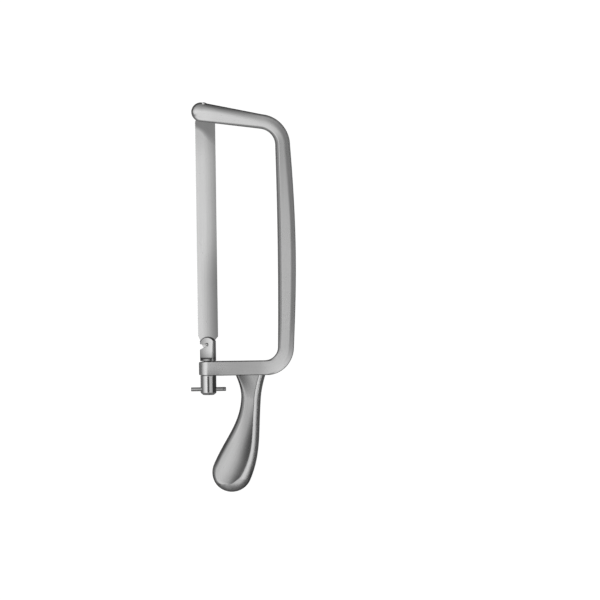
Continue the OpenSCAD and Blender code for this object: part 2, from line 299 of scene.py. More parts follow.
def makeSteelGroup():
    tree, given, result = newGroup(
        "groundSteel",
        [("Grain", "NodeSocketVector"), ("Place", "NodeSocketVector"), ("Tone", "NodeSocketFloat"),
         ("Rough", "NodeSocketFloat")],
        [("Color", "NodeSocketColor"), ("Roughness", "NodeSocketFloat"), ("Height", "NodeSocketFloat")])

    def noise(name, operation, socket):
        scaled = addVector(tree, operation, given[socket], finish[name])
        node = addNode(tree, "ShaderNodeTexNoise", Vector=scaled, Scale=1.0, Detail=finish[name + "Detail"],
                       Roughness=finish["fineShare"])
        return node.outputs[0]

    def centred(value, amount):
        return both(tree, addMath(tree, "SUBTRACT", value, 0.5), amount)

    streak = noise("streak", "MULTIPLY", "Grain")
    scratch = noise("scratch", "MULTIPLY", "Grain")
    cloud = noise("cloud", "SCALE", "Place")
    pits = addStep(tree, noise("pit", "SCALE", "Place"), finish["pitFrom"], finish["pitTo"])

    shade = addMath(tree, "ADD", centred(streak, finish["streakTone"]),
                    centred(scratch, finish["scratchTone"]))
    shade = addMath(tree, "ADD", shade, centred(cloud, finish["cloudTone"]))
    shade = addMath(tree, "SUBTRACT", shade, both(tree, pits, finish["pitTone"]))
    tone = both(tree, given["Tone"], addMath(tree, "ADD", shade, 1.0))
    colour = addNode(tree, "ShaderNodeCombineColor", Red=tone, Green=tone, Blue=tone)
    tree.links.new(colour.outputs[0], result["Color"])

    rough = addMath(tree, "ADD", given["Rough"], centred(cloud, finish["cloudRough"]))
    rough = addMath(tree, "ADD", rough, both(tree, pits, finish["pitRough"]))
    tree.links.new(rough, result["Roughness"])

    height = addMath(tree, "ADD", both(tree, streak, finish["streakHeight"]),
                     both(tree, scratch, finish["scratchHeight"]))
    height = addMath(tree, "SUBTRACT", height, both(tree, pits, finish["pitHeight"]))
    tree.links.new(height, result["Height"])
    return tree


# Points in the saw's own axes, in millimetres
def makePlaceGroup():
    tree, _, result = newGroup("sawPlace", [], [("Place", "NodeSocketVector")])
    coordinates = tree.nodes.new("ShaderNodeTexCoord").outputs["Object"]
    place = addVector(tree, "SCALE", addVector(tree, "SUBTRACT", coordinates, tuple(origin)), 1 / mm)
    tree.links.new(place, result["Place"])
    return tree


steelGroup = makeSteelGroup()
placeGroup = makePlaceGroup()


def addGroup(tree, group):
    node = tree.nodes.new("ShaderNodeGroup")
    node.node_tree = group
    return node


# grain: "uv" along a lofted piece, or the letters of the axes that lie along and across the grain
def steel(name, tone, rough, bump, grain, darken=None):
    material = bpy.data.materials.new(name)
    material.use_nodes = True
    tree = material.node_tree
    shader = tree.nodes["Principled BSDF"]
    shader.inputs["Metallic"].default_value = 1.0
    place = addGroup(tree, placeGroup).outputs["Place"]
    if grain == "uv":
        direction = tree.nodes.new("ShaderNodeTexCoord").outputs["UV"]
    else:
        axes = splitAxes(tree, place)
        picked = {"x": axes[0], "y": axes[1], "z": axes[2], "r": addMath(tree, "ADD", axes[0], axes[2])}
        sockets = dict(zip("XYZ", [picked[letter] for letter in grain]))
        direction = addNode(tree, "ShaderNodeCombineXYZ", **sockets).outputs[0]
    surface = addGroup(tree, steelGroup)
    tree.links.new(direction, surface.inputs["Grain"])
    tree.links.new(place, surface.inputs["Place"])
    surface.inputs["Tone"].default_value = tone
    surface.inputs["Rough"].default_value = rough
    if darken:
        tree.links.new(darken(tree, place, tone), surface.inputs["Tone"])
    relief = addNode(tree, "ShaderNodeBump", Height=surface.outputs["Height"], Strength=bump,
                     Distance=finish["relief"])
    tree.links.new(surface.outputs["Color"], shader.inputs["Base Color"])
    tree.links.new(surface.outputs["Roughness"], shader.inputs["Roughness"])
    tree.links.new(relief.outputs[0], shader.inputs["Normal"])
    return material


# The blade has painted shade: its back is darker, more so towards its lower end (a painted reflection), and
# a painted shadow lies next to the upper arm
bladePaintedShade = {
    "backFrom": 130.0, "backTo": 75.0, "topEdge": -3.0, "topWidth": 14.0, "topLoss": 0.5,
    "lowEdge": -8.0, "lowWidth": 18.0, "lowLoss": 0.68,
    "armX": -8.0, "armNone": 212.3, "armCurve": 0.14, "armFull": 215.4, "armLean": 0.576, "armLoss": 0.63,
    "nearFrom": 185.0, "nearTo": 212.0, "nearLoss": 0.16,
}


def bladeTone(tree, place, tone):
    axes = splitAxes(tree, place)
    down = addStep(tree, axes[1], bladePaintedShade["backFrom"], bladePaintedShade["backTo"])

    def towardsLow(name):
        top, low = bladePaintedShade["top" + name], bladePaintedShade["low" + name]
        return gained(tree, top, down, low - top)

    def kept(step, loss):
        return addMath(tree, "SUBTRACT", 1.0, both(tree, step, loss))

    edge = towardsLow("Edge")
    atBack = addStep(tree, axes[0], edge, addMath(tree, "ADD", edge, towardsLow("Width")))
    back = kept(atBack, towardsLow("Loss"))
    across = addMath(tree, "SUBTRACT", axes[0], bladePaintedShade["armX"])
    curved = gained(tree, bladePaintedShade["armNone"], both(tree, across, across), -bladePaintedShade["armCurve"])
    straight = gained(tree, bladePaintedShade["armFull"], axes[0], -bladePaintedShade["armLean"])
    underArm = kept(addStep(tree, axes[1], curved, straight), bladePaintedShade["armLoss"])
    nearArm = kept(addStep(tree, axes[1], bladePaintedShade["nearFrom"], bladePaintedShade["nearTo"]), bladePaintedShade["nearLoss"])
    darkest = addMath(tree, "MINIMUM", both(tree, back, nearArm), underArm)
    return both(tree, darkest, tone)


# The bow has painted light and shade: painted highlights round the barrel, at the outside of the lower
# corner and on the lower half of the upper arm, and painted shade along the lower arm, at the upper arm's
# round end and along that arm's top edge
bowPaintedLight = {
    "barrelFrom": 10.0, "barrelTo": -2.0, "barrelGain": 0.16,
    "corner": (68.0, -1.0, 0.0), "cornerNear": 3.0, "cornerFar": 21.0, "cornerGain": 0.38,
    "armLean": 0.1317, "armFrom": 234.0, "armTo": 229.0, "armEnd": 219.0, "armEndFull": 221.0,
    "armPast": 62.0, "armPastFull": 48.0, "armGain": 0.12,
    "lowFrom": 8.0, "lowFull": 28.0, "lowTo": 42.0, "lowPast": 58.0, "lowTop": 30.0, "lowTopFull": 10.0,
    "lowLoss": 0.16,
    "tip": (0.0, 227.5, 0.0), "tipFrom": 7.7, "tipTo": 12.5, "tipPast": 6.0, "tipFull": 0.0,
    "tipLow": 200.0, "tipLoss": 0.6,
    "topLean": 0.189, "topFrom": 234.3, "topTo": 237.5, "topStart": -4.0, "topFull": 2.0, "topLoss": 0.52,
}


def bowTone(tree, place, tone):
    axes = splitAxes(tree, place)

    def step(value, start, end):
        return addStep(tree, value, bowPaintedLight[start], bowPaintedLight[end])

    barrel = step(axes[0], "barrelFrom", "barrelTo")
    corner = step(planDistance(tree, axes, bowPaintedLight["corner"]), "cornerFar", "cornerNear")
    across = gained(tree, axes[1], axes[0], bowPaintedLight["armLean"])
    arm = both(tree, step(across, "armFrom", "armTo"), step(across, "armEnd", "armEndFull"))
    arm = both(tree, arm, step(axes[0], "armPast", "armPastFull"))
    low = both(tree, step(axes[0], "lowFrom", "lowFull"), step(axes[0], "lowPast", "lowTo"))
    low = both(tree, low, step(axes[1], "lowTop", "lowTopFull"))
    tip = both(tree, step(planDistance(tree, axes, bowPaintedLight["tip"]), "tipFrom", "tipTo"),
               step(axes[0], "tipPast", "tipFull"))
    tip = both(tree, tip, addMath(tree, "GREATER_THAN", axes[1], bowPaintedLight["tipLow"]))
    outwards = gained(tree, axes[1], axes[0], bowPaintedLight["topLean"])
    top = both(tree, step(outwards, "topFrom", "topTo"), step(axes[0], "topStart", "topFull"))

    gain = gained(tree, 1.0, barrel, bowPaintedLight["barrelGain"])
    gain = gained(tree, gain, corner, bowPaintedLight["cornerGain"])
    gain = gained(tree, gain, arm, bowPaintedLight["armGain"])
    gain = gained(tree, gain, low, -bowPaintedLight["lowLoss"])
    gain = gained(tree, gain, tip, -bowPaintedLight["tipLoss"])
    gain = both(tree, gain, gained(tree, 1.0, top, -bowPaintedLight["topLoss"]))
    return both(tree, gain, tone)


# The carrier has painted shade: darker on the side of the teeth, lower down, along its arched top and
# towards the step above its collar
carrierPaintedShade = {
    "from": -9.0, "to": 4.5, "loss": 0.6, "lowFrom": 17.0, "lowTo": 9.5, "lowLoss": 0.3,
    "stepY": 9.2, "stepNear": 0.5, "stepFar": 1.3, "stepLoss": 0.35,
    "arch": (0.0, 20.26, 0.0), "archFrom": 7.2, "archTo": 7.8, "archLow": 20.0, "archFull": 22.0,
    "archRight": 4.0, "archLeft": -2.0, "archLoss": 0.55,
}


def carrierTone(tree, place, tone):
    axes = splitAxes(tree, place)

    def step(value, start, end):
        return addStep(tree, value, carrierPaintedShade[start], carrierPaintedShade[end])

    def kept(mask, loss):
        return gained(tree, 1.0, mask, -carrierPaintedShade[loss])

    overArch = both(tree, step(planDistance(tree, axes, carrierPaintedShade["arch"]), "archFrom", "archTo"),
                    step(axes[1], "archLow", "archFull"))
    overArch = both(tree, overArch, step(axes[0], "archRight", "archLeft"))
    fromStep = addMath(tree, "ABSOLUTE", addMath(tree, "SUBTRACT", axes[1], carrierPaintedShade["stepY"]))
    left = kept(step(axes[0], "to", "from"), "loss")
    low = kept(step(axes[1], "lowFrom", "lowTo"), "lowLoss")
    collar = kept(step(fromStep, "stepFar", "stepNear"), "stepLoss")
    arch = kept(overArch, "archLoss")
    overall = both(tree, both(tree, left, low), both(tree, collar, arch))
    return both(tree, overall, tone)


# The handle has painted shade: a little darker next to the lower arm, and dark along its left edge and round
# its bulb's end
rootPaintedShade = {"from": -24.0, "to": -9.0, "right": 42.0, "left": 32.0, "loss": 0.16}
bulbPaintedShade = {"centre": (20.2, -93.5, 0.0), "from": 15.2, "to": 17.4, "top": -86.0, "low": -98.0, "loss": 0.5}
edgePaintedShade = {"wide": 2.3, "grow": -0.06, "soft": 1.6, "top": -14.0, "topFull": -26.0, "lowFull": -80.0,
            "low": -92.0, "loss": 0.45}


def handleTone(tree, place, tone):
    axes = splitAxes(tree, place)
    near = both(tree, addStep(tree, axes[1], rootPaintedShade["from"], rootPaintedShade["to"]),
                addStep(tree, axes[0], rootPaintedShade["right"], rootPaintedShade["left"]))
    fromBulb = planDistance(tree, axes, bulbPaintedShade["centre"])
    rim = both(tree, addStep(tree, axes[1], bulbPaintedShade["top"], bulbPaintedShade["low"]),
               addStep(tree, fromBulb, bulbPaintedShade["from"], bulbPaintedShade["to"]))
    grain = tree.nodes.new("ShaderNodeTexCoord").outputs["UV"]
    fromLeft = splitAxes(tree, grain)[1]  # round the section, from its left silhouette
    wide = gained(tree, edgePaintedShade["wide"], axes[1], edgePaintedShade["grow"])
    edge = addStep(tree, fromLeft, addMath(tree, "ADD", wide, edgePaintedShade["soft"]), wide)
    edge = both(tree, edge, addStep(tree, axes[1], edgePaintedShade["top"], edgePaintedShade["topFull"]))
    edge = both(tree, edge, addStep(tree, axes[1], edgePaintedShade["low"], edgePaintedShade["lowFull"]))
    kept = gained(tree, 1.0, near, -rootPaintedShade["loss"])
    kept = gained(tree, kept, rim, -bulbPaintedShade["loss"])
    kept = both(tree, kept, gained(tree, 1.0, edge, -edgePaintedShade["loss"]))
    return both(tree, kept, tone)


forgedSteel = steel("forgedSteel", tone=0.58, rough=0.28, bump=0.5, grain="uv", darken=bowTone)
handleSteel = steel("handleSteel", tone=0.50, rough=0.22, bump=0.4, grain="uv", darken=handleTone)
bladeSteel = steel("bladeSteel", tone=0.75, rough=0.22, bump=0.5, grain="yxz", darken=bladeTone)
carrierSteel = steel("carrierSteel", tone=0.68, rough=0.20, bump=0.4, grain="yxz", darken=carrierTone)
nutSteel = steel("nutSteel", tone=0.68, rough=0.10, bump=0.3, grain="ryr")
fittingSteel = steel("fittingSteel", tone=0.50, rough=0.25, bump=0.4, grain="xyz")
# The upper pin's steel is lighter than the fitting steel of the lower pin: a painted highlight on the upper
# pin
upperPinLitSteel = steel("upperPinLitSteel", tone=0.80, rough=0.30, bump=0.3, grain="xyz")
print("materials made")


# Bow: one forged bar bent round the throat. Every stretch has its own section
bow = {
    "throat": 63.0, "armHeight": 13.0, "barrelD": 16.8, "footT": 12.5, "endD": 17.0, "endT": 12.0,
    "endOver": 2.8, "slope": 7.5, "armW": 12.7, "spineTopW": 13.4, "spineLowW": 14.4, "spineBow": 1.0,
    "bulge": 2.3, "spineT": 11.0, "topR": 15.0, "lowR": 12.2, "lowPower": 3, "barrelEdge": 1.2,
    "barrelHollow": 1.8, "tipChamfer": 1.9, "tipDrop": 0.45,
    # Blade's slot, pin's groove, square bore, the nut's seat and the stud's hole
    "pinSink": 1.3, "slotW": 1.1, "slotPast": 0.8, "slotDown": 1.5, "seatR": 1.75, "seatUp": 0.4,
    "boreW": 8.1, "nutSeatD": 14.8, "nutSeatDepth": 0.25, "studDown": 9.0,
    # Where a section blends into the next one, as shares of a stretch, and how a round end's edges shrink
    "tipTo": 0.25, "neckFrom": 0.2, "bevelFrom": 0.45, "fadeFrom": 0.85, "fadeShare": 0.45, "fadeTo": 0.45,
    "blendPower": 1.5, "edgeShrink": 2,
    # Rings, how far a round end is turned, and the angle that stays sharp, in degrees
    "endRings": 26, "armRings": 40, "spineRings": 61, "otherRings": 25, "endTurn": 88.0, "sharp": 40.0,
}
# Corners of half a section, from its inner edge to its outer one: distance from that edge, depth below the
# top and rounding
endStyle = {"inner": ((0.0, 3.2, 0.4), (0.3, 2.7, 0.6), (1.0, 2.3, 3.0)),
            "outer": ((4.6, 0.0, 8.0), (1.5, 1.3, 2.0), (0.0, 3.2, 1.2))}
tipStyle = {"inner": ((0.0, 3.2, 0.4), (0.3, 2.7, 0.6), (1.0, 2.3, 3.0)),
            "outer": ((6.8, 0.0, 10.0), (1.9, 1.6, 2.0), (0.0, 3.4, 1.2))}
cornerStyle = {"inner": ((0.0, 2.2, 0.4), (0.4, 1.4, 0.6), (1.6, 0.7, 3.0)),
               "outer": ((6.5, 0.0, 16.0), (1.0, 0.65, 1.5), (0.0, 1.9, 1.0))}
neckStyle = {"inner": ((0.0, 3.1, 0.4), (1.6, 1.35, 3.0), (3.3, 0.0, 1.0)),
             "outer": ((5.0, 0.3, 16.0), (0.8, 1.05, 1.2), (0.0, 2.0, 0.8))}
spineStyle = {"inner": ((0.0, 3.2, 0.4), (1.6, 1.4, 3.0), (3.3, 0.0, 0.1)),
              "outer": ((4.3, 0.0, 7.0), (0.5, 0.75, 0.5), (0.0, 1.4, 0.4))}
fadeStyle = {"inner": ((0.0, 2.0, 0.3), (0.9, 0.8, 1.5), (2.2, 0.0, 0.5)),
             "outer": ((4.8, 0.0, 10.0), (0.5, 0.1, 0.5), (0.0, 0.9, 0.4))}
footStyle = {"inner": ((0.0, 1.5, 0.3), (0.4, 0.7, 0.3), (0.7, 0.0, 0.1)),
             "outer": ((0.7, 0.0, 0.1), (0.4, 0.7, 0.3), (0.0, 1.5, 0.3))}


def mixStyle(a, b, t):
    return {key: lerp(np.array(a[key]), np.array(b[key]), t) for key in a}


def bowSection(width, half, style):
    corners = [(edge, half - depth, radius) for edge, depth, radius in style["inner"]]
    corners += [(width - edge, half - depth, radius) for edge, depth, radius in style["outer"]]
    upper = roundPath([(0, 0)] + [c[:2] for c in corners] + [(width, 0)], [c[2] for c in corners])
    return upper + [np.array([p[0], -p[1]]) for p in reversed(upper[1:-1])]


def standUp(point, direction, section):
    return [(point[0] + direction[0] * s, point[1] + direction[1] * s, z) for s, z in section]


def bowRings():
    pinY = middle("upper_blade_pin").y
    bladeEdge = extent("saw_blade").x / 2
    endR = bow["endD"] / 2
    armTop = bow["armHeight"] / 2
    barrelR = bow["barrelD"] / 2
    along = turned((1, 0), -bow["slope"])
    across = turned((0, 1), -bow["slope"])
    endCentre = np.array([-bladeEdge - bow["endOver"] + endR, pinY + bow["pinSink"] - endR])
    armStart = endCentre - endR * across
    armRun = (bow["throat"] - bow["topR"] * (1 - across[0]) - armStart[0]) / along[0]
    topCentre = armStart + armRun * along - bow["topR"] * across
    lowCentre = np.array([bow["throat"] - bow["lowR"], armTop + bow["lowR"]])
    rings = []
    for a in np.linspace(bow["endTurn"], 0, bow["endRings"])[:-1]:  # round end
        share, past = math.cos(math.radians(a)), math.sin(math.radians(a))
        narrow = min(1, bow["edgeShrink"] * share)
        style = {key: np.array(value) * [narrow, 1, narrow] for key, value in tipStyle.items()}
        section = []
        for s, z in bowSection(2 * endR * share, bow["endT"] / 2, style):
            near = max(0, 1 - (endR - math.hypot(endR * past, s - endR * share)) / bow["tipChamfer"])
            section.append((s, z * (1 - bow["tipDrop"] * near * ease(past))))
        point = armStart - endR * past * along + endR * (1 - share) * across
        rings.append(standUp(point, across, section))
    for t in np.linspace(0, 1, bow["armRings"]):  # upper arm
        nearTip = max(0, 1 - t / bow["tipTo"]) ** bow["blendPower"]
        style = mixStyle(mixStyle(endStyle, cornerStyle, t), tipStyle, nearTip)
        half = lerp(bow["endT"], bow["spineT"], t) / 2
        section = bowSection(lerp(bow["endD"], bow["armW"], t), half, style)
        rings.append(standUp(armStart + t * armRun * along, across, section))
    for t in np.linspace(0, 1, bow["otherRings"])[1:]:  # upper corner
        out = turned(across, -t * (90 - bow["slope"]))
        style = mixStyle(cornerStyle, neckStyle, ease(beyond(t, bow["neckFrom"])))
        section = bowSection(lerp(bow["armW"], bow["spineTopW"], t), bow["spineT"] / 2, style)
        rings.append(standUp(topCentre + bow["topR"] * out, out, section))
    for t in np.linspace(0, 1, bow["spineRings"])[1:]:  # spine
        bulge = bow["bulge"] * math.sin(math.pi * t)
        inside = bow["throat"] + 4 * bow["spineBow"] * t * (1 - t)
        style = mixStyle(neckStyle, spineStyle, ease(min(1, t / bow["bevelFrom"])))
        faded = beyond(t, bow["fadeFrom"]) ** bow["blendPower"]
        style = mixStyle(style, fadeStyle, bow["fadeShare"] * faded)
        section = bowSection(lerp(bow["spineTopW"], bow["spineLowW"], t) + bulge, bow["spineT"] / 2, style)
        rings.append(standUp((inside, lerp(topCentre[1], lowCentre[1], t)), (1, 0), section))
    for t in np.linspace(0, 1, bow["otherRings"])[1:]:  # lower corner
        out = turned((1, 0), -90 * t)
        style = mixStyle(spineStyle, fadeStyle, lerp(bow["fadeShare"], 1, min(1, t / bow["fadeTo"])))
        style = mixStyle(style, footStyle, ease(beyond(t, bow["fadeTo"])))
        section = bowSection(lerp(bow["spineLowW"], bow["armHeight"], t ** bow["lowPower"]),
                             lerp(bow["spineT"], bow["footT"], ease(t)) / 2, style)
        rings.append(standUp(lowCentre + bow["lowR"] * out, out, section))
    for t in np.linspace(0, 1, bow["otherRings"])[1:]:  # lower arm, hollowed towards the barrel
        half = lerp(bow["footT"] / 2, barrelR, t ** bow["barrelHollow"])
        section = bowSection(bow["armHeight"], half, footStyle)
        rings.append(standUp((lerp(lowCentre[0], 0, t), armTop), (0, -1), section))
    for a in np.linspace(0, bow["endTurn"], bow["otherRings"])[1:]:  # round end of the barrel
        share = math.cos(math.radians(a))
        drawn = bow["barrelEdge"] * (1 - share)
        narrow = min(1, bow["edgeShrink"] * share)
        style = {key: np.array(value) * narrow for key, value in footStyle.items()}
        section = bowSection(bow["armHeight"] - 2 * drawn, barrelR * share, style)
        rings.append(standUp((-barrelR * math.sin(math.radians(a)), armTop - drawn), (0, -1), section))
    return rings


def bowCutters():
    pin = middle("upper_blade_pin")
    stud = middle("handle_stud")
    studR = extent("handle_stud").x / 2
    armLow = -bow["armHeight"] / 2
    slotEnd = extent("saw_blade").x / 2 + bow["slotPast"]
    slotHalf, boreHalf, seatR = bow["slotW"] / 2, bow["boreW"] / 2, bow["seatR"]
    slot = boxSolid("slot", (-far, pin.y - bow["slotDown"] * bow["endD"], -slotHalf),
                    (slotEnd, pin.y + far, slotHalf))
    groove = drill("groove", seatR, far, "z", (pin.x, pin.y + bow["seatUp"], 0))
    mouth = boxSolid("mouth", (pin.x - seatR, pin.y, -far), (pin.x + seatR, pin.y + far, far))
    bore = boxSolid("bore", (-boreHalf, -far, -boreHalf), (boreHalf, far, boreHalf))
    seat = drill("seat", bow["nutSeatD"] / 2, armLow + bow["nutSeatDepth"], "y", (0, 0, 0))
    hole = drill("hole", studR, armLow + bow["studDown"], "y", (stud.x, 0, 0))
    return [slot, groove, mouth, bore, seat, hole]


bowFrame = loft("bowFrame", bowRings())
cut(bowFrame, bowCutters())
shadeSmooth(bowFrame, bow["sharp"])
finishPiece(bowFrame, "frame", "forged_steel", forgedSteel, "bow_frame")
print("bow made", len(bowFrame.data.polygons))


# Handle: flared root, neck and pear-shaped bulb, lofted along a curved axis
grip = {
    "length": 104.8, "rootX": 38.0, "lean": 17.8, "rootW": 26.6, "rootT": 12.4, "neckW": 17.6, "neckT": 13.0,
    "bulbW": 35.6, "bulbT": 25.0, "tilt": 24.0, "rootPull": (0.1, -0.3), "bulbPull": 0.44, "neckAt": 0.26,
    "swellPower": 1.18, "flarePower": 1.7,
    # Edge and bevel of a section on its left and right, at the neck and at the bulb, and the bevel's slopes
    "edgeL": (1.4, 1.7), "bevelL": (1.9, 2.2), "edgeR": (2.5, 2.6), "bevelR": (3.6, 4.3), "lowSpread": 2.5,
    "lowFrom": 0.7, "bevelIn": 29.0, "bevelOut": 44.0, "softL": 0.35, "softFrom": 0.25,
    # Slope of the crown, and its rise towards the end of the bulb
    "crownSlope": 26.0, "crownPowerL": 2.0, "crownPowerR": 1.0, "crownFrom": 0.18, "crownTo": 0.85,
    "rise": 1.2, "riseFrom": 12.0,
    # Hollow of the flare, and the edges next to the root
    "hollow": 1.15, "hollowFrom": (2.0, 5.0), "hollowWide": 11.0, "hollowPower": 0.8, "hollowEnd": 3.0,
    "rootEdge": 0.5, "rootGrow": 0.12, "rootShrink": 0.17, "rootSteep": 16.0,
    # Round end of the bulb
    "capEdge": 2.2, "capBevel": 4.7, "capOut": 44.0, "capTurnL": 8.0, "capTurnR": 2.0, "capTightL": 0.2,
    "capTightR": -0.1,
    # Points across an edge, rings, distances that are welded, and the angle that stays sharp
    "steps": 12, "bodyRings": 90, "capRings": 60, "weld": 0.002, "sliver": 0.001, "sharp": 50.0,
}


def handleRings():
    armTop = bow["armHeight"] / 2
    bulbR = grip["bulbW"] / 2
    root = np.array([grip["rootX"], -armTop])
    bulb = np.array([grip["rootX"] - grip["lean"], -armTop - grip["length"] + bulbR])
    drop = root[1] - bulb[1]
    first = root + np.array([grip["rootPull"][0] * grip["lean"], grip["rootPull"][1] * drop])
    tilt = math.radians(grip["tilt"])
    second = bulb + grip["bulbPull"] * drop * np.array([math.sin(tilt), math.cos(tilt)])
    nudge = 0.001

    def axis(t):
        s = 1 - t
        return s ** 3 * root + 3 * s * s * t * first + 3 * s * t * t * second + t ** 3 * bulb

    def heading(t):
        d = axis(t + nudge) - axis(t - nudge)
        return math.degrees(math.atan2(d[0], -d[1]))

    def flareAt(t):
        return max(0, 1 - t / grip["neckAt"])

    def half(t, rootSize, neckSize, bulbSize):
        swell = (1 - math.cos(math.pi * beyond(t, grip["neckAt"]) ** grip["swellPower"])) / 2
        flare = flareAt(t) ** grip["flarePower"]
        return lerp(neckSize, bulbSize, swell) / 2 + (rootSize - neckSize) / 2 * flare

    def slopeAt(degrees):
        return math.tan(math.radians(degrees))

    # Height over a steep edge and a bevel, each a parabola, under a crown of a given height
    def rimHeight(d, edge, bevel, height, outer, steeper=0):
        steep, shallow = slopeAt(outer), slopeAt(grip["bevelIn"])
        edgeH = height - bevel * (steep + shallow) / 2
        if d < edge:
            s = math.sqrt(max(0, d / edge))
            control = max(0, edgeH - edge * slopeAt(outer + steeper))
            return 2 * s * (1 - s) * control + s * s * edgeH
        s = min(1, (d - edge) / bevel)
        return edgeH + bevel * (steep * s + (shallow - steep) * s * s / 2)

    def nearBulb(t):
        return beyond(t, grip["lowFrom"]) ** 2

    def crownDrop(side, t, crown, fromMiddle):
        crowned = ease(clamp((t - grip["crownFrom"]) / (grip["crownTo"] - grip["crownFrom"])))
        slope = slopeAt(grip["crownSlope"] * crowned ** grip["crownPower" + side])
        return slope * crown / 2 * min(1, fromMiddle / crown) ** 2

    def spread(edge, bevel, crown):
        k = np.linspace(0, 1, grip["steps"] + 1)
        rim = [edge * s * s for s in k] + [edge + bevel * s for s in k[1:]]
        return rim + [edge + bevel + crown * s for s in k[1:]]

    # Points of a section's left or right half, from the silhouette to the middle
    def halfSection(side, t, halfW, halfT):
        grown = ease(min(1, beyond(t, grip["neckAt"])))
        flare = flareAt(t)
        edge, bevel = lerp(*grip["edge" + side], grown), lerp(*grip["bevel" + side], grown)
        if side == "L":
            narrow = lerp(1, grip["rootEdge"], flare)
            edge *= narrow
            bevel *= narrow + grip["softL"] * math.sin(math.pi * min(1, beyond(t, grip["softFrom"])))
        else:
            edge *= 1 + grip["rootGrow"] * flare
            bevel *= 1 - grip["rootShrink"] * flare
            bevel += grip["lowSpread"] * nearBulb(t)
        crown = halfW - edge - bevel
        points = []
        for d in spread(edge, bevel, crown):
            z = halfT - crownDrop(side, t, crown, min(crown, halfW - d))
            if d < edge + bevel:
                outer = lerp(grip["bevelOut"], grip["capOut"], nearBulb(t))
                z = rimHeight(d, edge, bevel, z, outer, grip["rootSteep"] * flare)
            points.append((d, z))
        return points

    # The crown rises towards the end of the bulb
    def riseAt(past):
        share = (past + grip["riseFrom"]) / (bulbR - grip["capEdge"] - grip["capBevel"] + grip["riseFrom"])
        return grip["rise"] * clamp(share) ** 2

    def wholeRing(centre, angle, upper):
        right, down = turned((1, 0), angle), turned((0, -1), angle)
        section = upper + [(w, past, -z) for w, past, z in reversed(upper[1:-1])]
        return [(*(centre + right * w + down * past), z) for w, past, z in section]

    def bodyRing(t):
        halfW = half(t, grip["rootW"], grip["neckW"], grip["bulbW"])
        halfT = half(t, grip["rootT"], grip["neckT"], grip["bulbT"] - 2 * grip["rise"])
        halfT += riseAt(-np.linalg.norm(axis(t) - bulb))
        upper = [(d - halfW, z) for d, z in halfSection("L", t, halfW, halfT)]
        upper += [(halfW - d, z) for d, z in reversed(halfSection("R", t, halfW, halfT)[:-1])]
        flare = flareAt(t)
        hollow = grip["hollow"] * flare ** grip["hollowPower"]
        hollowed = []
        for w, z in upper:
            inside = (w + halfW - lerp(*grip["hollowFrom"], 1 - flare)) / grip["hollowWide"]
            sunk = 1 - (1 - clamp(inside)) ** 2
            hollowed.append((w, 0, z - hollow * sunk * min(1, (halfW - w) / grip["hollowEnd"])))
        return wholeRing(axis(t), ease(min(1, t / grip["neckAt"])) * heading(t), hollowed)

    # Round end of the bulb, in spokes from its middle
    def capRing(a):
        upper = {}
        for side, sign in (("L", -1), ("R", 1)):
            low = ease(min(1, a * 2 / math.pi)) ** grip["capTurn" + side]
            tight = 1 - grip["capTight" + side] * math.sin(min(math.pi, 2 * a))
            startEdge, startBevel = grip["edge" + side][1], grip["bevel" + side][1]
            if side == "R":
                startBevel += grip["lowSpread"]
            edge = lerp(startEdge, grip["capEdge"], low) * tight
            bevel = lerp(startBevel, grip["capBevel"], low) * tight
            crown = bulbR - startEdge - startBevel

            def crownHeight(reach):
                level = grip["bulbT"] / 2 - grip["rise"] + riseAt(reach * math.sin(a))
                return level - crownDrop(side, 1, crown, reach * math.cos(a))

            inner = bulbR - edge - bevel
            upper[side] = []
            for d in spread(edge, bevel, inner):
                z = crownHeight(min(inner, bulbR - d))
                if d < edge + bevel:
                    z = rimHeight(d, edge, bevel, z, grip["capOut"])
                upper[side].append((sign * (bulbR - d) * math.cos(a), (bulbR - d) * math.sin(a), z))
        return wholeRing(bulb, heading(1), upper["L"] + upper["R"][-2::-1])

    rings = [bodyRing(t) for t in np.linspace(0, 1, grip["bodyRings"])]
    return rings + [capRing(a) for a in np.radians(np.linspace(0, 90, grip["capRings"])[1:])]


# Joins points that lie in one place
def weld(obj):
    work = bmesh.new()
    work.from_mesh(obj.data)
    bmesh.ops.remove_doubles(work, verts=work.verts, dist=grip["weld"] * mm)
    bmesh.ops.dissolve_degenerate(work, edges=work.edges, dist=grip["sliver"] * mm)
    work.to_mesh(obj.data)
    work.free()


handle = loft("handle", handleRings())
weld(handle)
shadeSmooth(handle, grip["sharp"])
finishPiece(handle, "frame", "handle_steel", handleSteel, "handle")
print("handle made", len(handle.data.polygons))


# Blade: every tooth is filed to a thin tip and set to the other side than the one before
blade = {"pitch": 1.5, "depth": 0.8, "set": 0.14, "tipT": 0.3, "tipW": 9.0, "lowerTip": 4.0, "upperTip": 1.5,
         "lowerShoulder": 7.0, "upperShoulder": 15.0, "backEdge": 0.22, "tipRows": 10, "tipTurn": 88.0,
         "sharp": 20.0}


